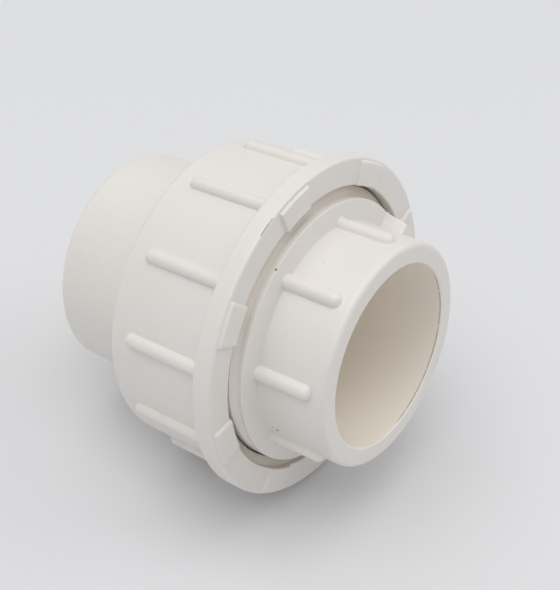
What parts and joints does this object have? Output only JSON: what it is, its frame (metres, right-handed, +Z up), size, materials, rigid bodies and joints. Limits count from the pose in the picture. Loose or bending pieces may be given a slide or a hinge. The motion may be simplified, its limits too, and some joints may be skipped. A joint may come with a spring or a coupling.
{
  "type": "union fitting",
  "caption": "Plastic pipe union: two solvent-weld sockets drawn together face to face by a ribbed nut with a flanged mouth, sealed by an O-ring.",
  "frame": {"origin": "on the pipe axis, at the middle of the assembled length", "axes": "+X along the pipe axis towards the ribbed, threaded end, +Z up"},
  "size_m": [0.0874, 0.0932, 0.0932],
  "materials": {
    "pvc_ends": "moulded warm-white rigid PVC, satin",
    "pvc_nut": "moulded warm-white rigid PVC, satin",
    "seal_rubber": "matte black EPDM"
  },
  "bodies": {
    "threaded_end": {"threaded_end_connector": "pvc_ends", "o_ring": "seal_rubber"},
    "plain_end": {"plain_end_connector": "pvc_ends"},
    "nut": {"union_nut": "pvc_nut"}
  },
  "joints": [
    {"name": "plain_end_slide", "type": "slide", "parent": "threaded_end", "child": "plain_end", "axis": [-1, 0, 0], "range_m": [0, 0.0211]},
    {"name": "nut_turn", "type": "hinge", "parent": "plain_end", "child": "nut", "pos_m": [0, 0, 0], "axis": [-1, 0, 0], "range_deg": [0, 1260]}
  ],
  "couplings": [
    {"joint": "plain_end_slide", "follows": "nut_turn", "m_per_rad": 0.00095493}
  ]
}
